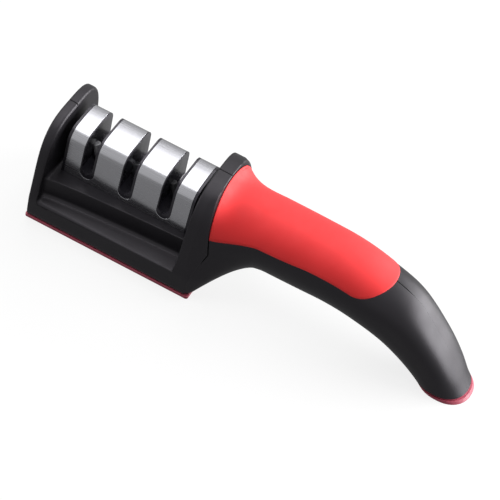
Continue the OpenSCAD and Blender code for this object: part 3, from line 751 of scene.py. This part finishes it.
# %% [markdown]
# ## Steel cover
# The real cover is stamped flat, with three round-ended slots, and then bent over
# the head, whose top it follows in a low crown. It is made much the same way
# here: a grid laid over the bent profile loses the faces of its slots, and gets
# the sheet's thickness and a soft edge. The crown spreads the softbox's image.

# %% Profile of the cover
COVER_X, COVER_L, COVER_W, COVER_TOP = 8.0, 59.5, 26.2, 46.0
COVER_R, COVER_LEAN, CROWN_A = 6.6, math.radians(2.8), 5.0
SHEET_T, SHEET_EDGE_R = 0.8, 0.12
STRAP_N, WALL_ABOVE_N, BEND_N, CROWN_N, SLOT_N, TAB_N = 6, 5, 14, 6, 12, 3
NEAR = 0.01
SLOT_X, SLOT_SPACING, SLOT_W, STRAP_H = 10.6, 18.85, 6.8, 2.0
bend_z = COVER_TOP - COVER_R
bend_y = COVER_W / 2 - (bend_z - DECK_H) * math.tan(COVER_LEAN) - COVER_R / math.cos(COVER_LEAN)
side_top_z = bend_z + COVER_R * math.sin(COVER_LEAN)
slot_foot_z = DECK_H + STRAP_H + SLOT_W / 2


def cover_side(z):
    """Point of the cover's side across the part, at height z."""
    return COVER_W / 2 - (z - DECK_H) * math.tan(COVER_LEAN), z


strap_levels = [mix(DECK_H, slot_foot_z, i / STRAP_N) for i in range(STRAP_N + 1)]
side_levels = [mix(slot_foot_z, side_top_z, i / WALL_ABOVE_N) for i in range(1, WALL_ABOVE_N + 1)]
profile = [cover_side(z) for z in strap_levels + side_levels]
profile += arc((bend_y, bend_z), COVER_R, math.degrees(COVER_LEAN), 90 - CROWN_A, BEND_N)
crown_r = profile[-1][0] / math.sin(math.radians(CROWN_A))
crown_z = profile[-1][1] - crown_r * math.cos(math.radians(CROWN_A))
profile += arc((0, crown_z), crown_r, 90 - CROWN_A, 90, CROWN_N)
profile += [(-y, z) for y, z in profile[-2::-1]]
print("cover's crown: radius", round(crown_r, 1), "mm")

# %% Steel cover
slot_mids = [COVER_X + SLOT_X + i * SLOT_SPACING for i in range(3)]
slot_turns = [math.radians(mix(-90, 90, i / SLOT_N)) for i in range(SLOT_N + 1)]
columns = [(COVER_X, None)]
for mid in slot_mids:
    start = columns[-1][0]
    columns += [(mix(start, mid - SLOT_W / 2, i / TAB_N), None) for i in range(1, TAB_N)]
    columns += [(mid + SLOT_W / 2 * math.sin(t), t) for t in slot_turns]
start = columns[-1][0]
columns += [(mix(start, COVER_X + COVER_L, i / TAB_N), None) for i in range(1, TAB_N + 1)]


def cover_point(x, turn, y, z):
    """Place of a grid point, where the straps under a slot end on the slot's round foot."""
    if turn is None or z > slot_foot_z + NEAR / 10:
        return Vector((x, y, z))
    drop = SLOT_W / 2 * math.cos(turn) * (z - DECK_H) / (slot_foot_z - DECK_H)
    return Vector((x, math.copysign(cover_side(z - drop)[0], y), z - drop))


cover_shape = wrapped([[cover_point(x, t, y, z) for y, z in profile] for x, t in columns])
open_faces = [f for f in cover_shape.faces
              if any(abs(f.calc_center_median().x - mid) < SLOT_W / 2 - NEAR for mid in slot_mids)
              and max(v.co.z for v in f.verts) > slot_foot_z + NEAR]
bmesh.ops.delete(cover_shape, geom=open_faces, context="FACES")
bmesh.ops.recalc_face_normals(cover_shape, faces=cover_shape.faces)
if sum(f.normal.z * f.calc_area() for f in cover_shape.faces) < 0:
    bmesh.ops.reverse_faces(cover_shape, faces=cover_shape.faces)
bmesh.ops.translate(cover_shape, vec=(ORIGIN_X, 0, 0), verts=cover_shape.verts)
cover = piece("steel_cover_sheet", cover_shape, cover_steel, "steel", "steel_cover",
              sharp=60, weighted=False)
wall = cover.modifiers.new("sheet", "SOLIDIFY")
wall.thickness, wall.offset, wall.use_even_offset = SHEET_T * MM, -1, True
edge = cover.modifiers.new("edge", "BEVEL")
edge.width, edge.segments = SHEET_EDGE_R * MM, 2
edge.limit_method, edge.angle_limit = "ANGLE", math.radians(50)
cover.modifiers.new("flat_faces", "WEIGHTED_NORMAL").keep_sharp = True

# %% [markdown]
# ## Head, holders and abrasives
# These keep the CAD's shape. A copy of each node is welded into one clean mesh,
# and a small bevel gives it the moulded or ground edges that catch the light.

# %% Head, holders and abrasives
CAD_WELD = 0.005 * MM


def softened(name, node, material, slot, width, segments=2):
    """A copy of a CAD node with its edges rounded."""
    shape = bmesh.new()
    shape.from_mesh(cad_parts[node].data)
    bmesh.ops.remove_doubles(shape, verts=shape.verts, dist=CAD_WELD)
    bmesh.ops.dissolve_limit(shape, angle_limit=math.radians(1), use_dissolve_boundaries=False,
                             verts=shape.verts, edges=shape.edges)
    made = piece(name, shape, material, slot, node, sharp=30, scale=1, weighted=False)
    edge = made.modifiers.new("edge", "BEVEL")
    edge.width, edge.segments = width * MM, segments
    edge.limit_method, edge.angle_limit = "ANGLE", math.radians(35)
    made.modifiers.new("flat_faces", "WEIGHTED_NORMAL").keep_sharp = True
    return made


softened("head_moulding", "cartridge_body", head_abs_painted_paler, "head_plastic", 0.3, 3)
for stage in ("coarse", "carbide", "fine"):
    softened(stage + "_holder_moulding", stage + "_holder", head_abs_painted_paler, "head_plastic", 0.12)
for side in ("left", "right"):
    softened("diamond_rod_" + side + "_ground", "diamond_rod_" + side, diamond, "diamond", 0.2)
    softened("carbide_blade_" + side + "_ground", "carbide_blade_" + side, carbide, "carbide", 0.15)
    softened("ceramic_rod_" + side + "_fired", "ceramic_rod_" + side, ceramic, "ceramic", 0.25)

# %% [markdown]
# ## Hidden pieces
# The plates and screws inside the base, the head and the handle never show, so
# the CAD's own nodes stand for them and only get their finishes.

# %% Finishes of the hidden nodes
hidden = {"base_plate": head_abs_painted_paler, "cartridge_floor": head_abs_painted_paler, "blade_screws": screw_steel,
          "cartridge_screws": screw_steel, "base_plate_screws": screw_steel,
          "handle_screws": screw_steel}
for name, material in hidden.items():
    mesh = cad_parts[name].data
    mesh.materials.clear()
    mesh.materials.append(material)
print("hidden nodes:", sorted(hidden))

# %% [markdown]
# ## Floor and light
# The object stands on a plain white floor, and each kind of ray finds its own
# brightness there. The camera sees near white with the object's soft shadow left
# in it. Metal and gloss mirror it dimmer, so the cover's sides turn grey. Light
# that bounces off the floor finds a mid grey, which keeps the black plastic deep.
# The world is white where it is seen or mirrored, and dim as a light.

# %% Floor
SHADOW_SHARE, MIRROR_SHARE = 0.18, 0.3
FLOOR_WHITE, FLOOR_GREY, FLOOR_HALF = "#fafafa", "#8c8c8c", 3


def seen_at_all(tree, ray):
    """1 for what the camera sees directly, mirrored or through glass, and 0 for other light."""
    seen = ray.outputs["Is Camera Ray"]
    for kind in ("Is Glossy Ray", "Is Transmission Ray"):
        most = add(tree, "ShaderNodeMath", {0: seen, 1: ray.outputs[kind]}, operation="MAXIMUM")
        seen = most.outputs[0]
    return seen


floor_mat, tree, shader = finish("studio_floor_white", FLOOR_WHITE, Roughness=0.9,
                                 Specular_IOR_Level=0.0)
ray = add(tree, "ShaderNodeLightPath")
camera_ray = ray.outputs["Is Camera Ray"]
paint = add(tree, "ShaderNodeMix", {
    "Factor": camera_ray, "A": linear(FLOOR_GREY), "B": linear(FLOOR_WHITE)}, data_type="RGBA")
tree.links.new(paint.outputs["Result"], shader.inputs["Base Color"])
glow = add(tree, "ShaderNodeEmission", {"Color": linear("#ffffff"), "Strength": 1.0})
direct = add(tree, "ShaderNodeMath", {0: camera_ray, 1: 1 - SHADOW_SHARE - MIRROR_SHARE},
             operation="MULTIPLY")
lift = add(tree, "ShaderNodeMath", {
    0: seen_at_all(tree, ray), 1: MIRROR_SHARE, 2: direct.outputs[0]}, operation="MULTIPLY_ADD")
both = add(tree, "ShaderNodeMixShader", {
    0: lift.outputs[0], 1: shader.outputs["BSDF"], 2: glow.outputs["Emission"]})
tree.links.new(both.outputs["Shader"], tree.nodes["Material Output"].inputs["Surface"])

floor_shape = bmesh.new()
bmesh.ops.create_grid(floor_shape, x_segments=1, y_segments=1, size=FLOOR_HALF)
floor_mesh = bpy.data.meshes.new("studio_floor")
floor_shape.to_mesh(floor_mesh)
floor_shape.free()
floor_mesh.materials.append(floor_mat)
floor = bpy.data.objects.new("studio_floor", floor_mesh)
bpy.context.scene.collection.objects.link(floor)
print("floor:", 2 * FLOOR_HALF, "m square")

# %% World
DIM_LIGHT = 0.1
world = bpy.data.worlds.new("studio_world")
bpy.context.scene.world = world
world.use_nodes = True
tree = world.node_tree
ray = add(tree, "ShaderNodeLightPath")
strength = add(tree, "ShaderNodeMapRange", {
    "Value": seen_at_all(tree, ray), "To Min": DIM_LIGHT, "To Max": 1.0})
back = tree.nodes["Background"]
back.inputs["Color"].default_value = linear("#ffffff")
tree.links.new(strength.outputs["Result"], back.inputs["Strength"])
print("world:", world.name)

# %% [markdown]
# ## Lamps
# Three softboxes light the object. A large one hangs over and behind it, where
# the cover's top mirrors it to the camera. One stands low behind the tail and
# draws the sheen along the handle's rear side. A weak one at the end plate lifts
# the near side a little out of the black.

# %% Lamps


def softbox(name, place, aim, width, height, watts):
    """A rectangular lamp that stands at place and shines towards aim, all in metres."""
    lamp = bpy.data.lights.new(name, "AREA")
    lamp.shape, lamp.size, lamp.size_y, lamp.energy = "RECTANGLE", width, height, watts
    made = bpy.data.objects.new(name, lamp)
    turn = (Vector(aim) - Vector(place)).to_track_quat("-Z", "Y")
    made.matrix_world = Matrix.Translation(place) @ turn.to_matrix().to_4x4()
    bpy.context.scene.collection.objects.link(made)
    print(name, watts, "W")


softbox("top_softbox", (-0.18, 0.20, 0.80), (-0.18, 0.0, 0.03), width=0.6, height=0.98, watts=6.1)
softbox("tail_softbox", (0.72, 0.49, 0.24), (0.09, 0, 0.02), width=0.90, height=0.48, watts=20)
softbox("fill_softbox", (-0.80, -0.32, 0.30), (0.02, 0, 0.03), width=0.4, height=0.4, watts=2.5)

# %% [markdown]
# ## Finish
# The colours leave the render as they are written, without a film look.

# %% Finish
bpy.context.scene.view_settings.view_transform = "Standard"
